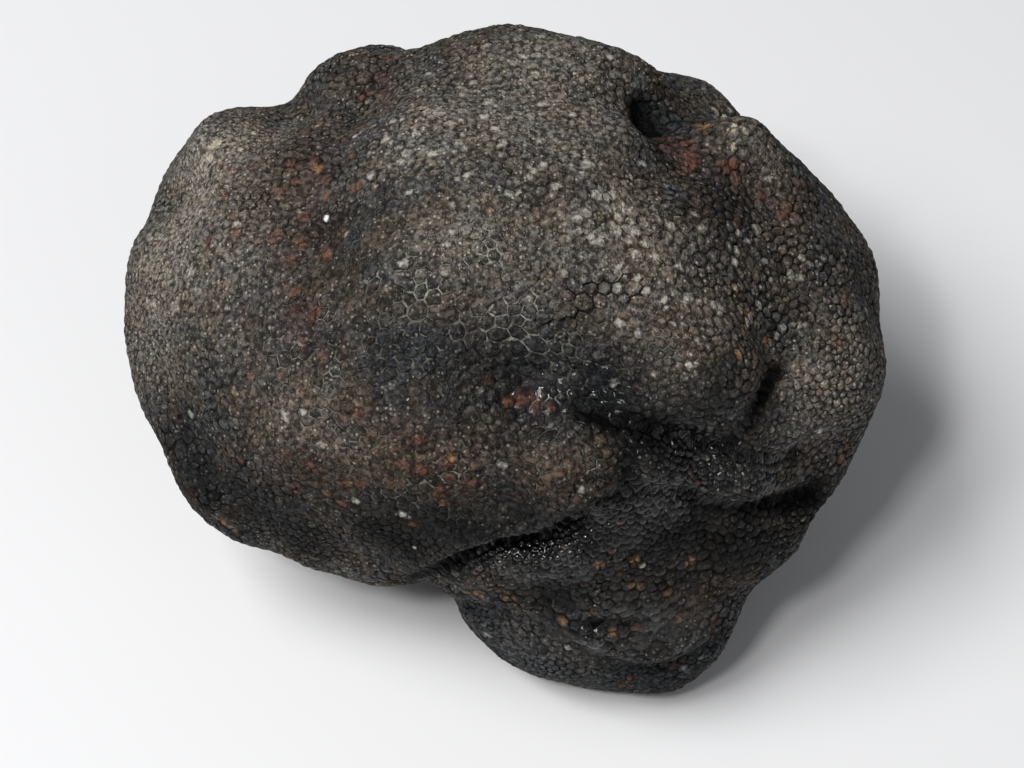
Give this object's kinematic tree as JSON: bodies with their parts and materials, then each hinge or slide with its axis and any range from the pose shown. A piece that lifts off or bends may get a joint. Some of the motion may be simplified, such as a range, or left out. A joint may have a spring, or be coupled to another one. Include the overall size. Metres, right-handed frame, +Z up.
{
  "type": "black truffle",
  "caption": "Whole smooth black truffle: a lobed, creased, dark fruiting body covered in low warts, lying on a small flat spot",
  "frame": {"origin": "middle of the bounding box at its bottom, on the surface that the truffle lies on", "axes": "+X is the longest extent and the creased side faces -Y; +Z is up"},
  "size_m": [0.0496, 0.0388, 0.0364],
  "materials": {
    "skin": "matte, warty, with damp glints in the creases"
  },
  "bodies": {
    "root": {"truffle": "skin"}
  },
  "joints": []
}
